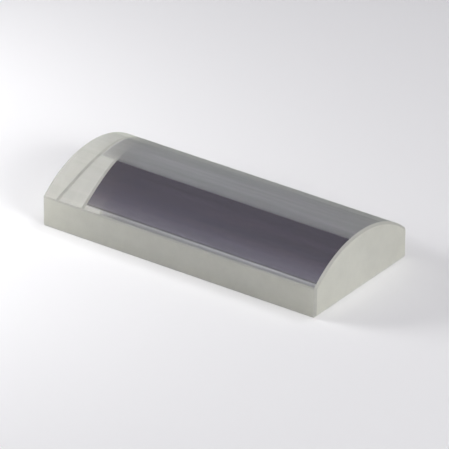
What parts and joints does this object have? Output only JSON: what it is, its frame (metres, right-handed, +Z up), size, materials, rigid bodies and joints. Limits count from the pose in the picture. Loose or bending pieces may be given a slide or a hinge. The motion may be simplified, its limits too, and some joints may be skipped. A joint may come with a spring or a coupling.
{
  "type": "cylindrical lens",
  "caption": "Rectangular plano-convex cylindrical lens in clear glass, with polished faces, frosted sides and ends, and a small bevel on every edge.",
  "frame": {"origin": "centre of the flat plano face, on which the lens rests", "axes": "+X along the cylinder's axis and the lens's length, +Y across the convex face, +Z up out of the convex face"},
  "size_m": [0.05, 0.024, 0.0095],
  "materials": {
    "optical_glass": "polished and coated on the convex and flat faces, fine-ground and frosted on the sides, ends and bevels"
  },
  "bodies": {
    "root": {"cylindrical_lens": "optical_glass"}
  },
  "joints": []
}
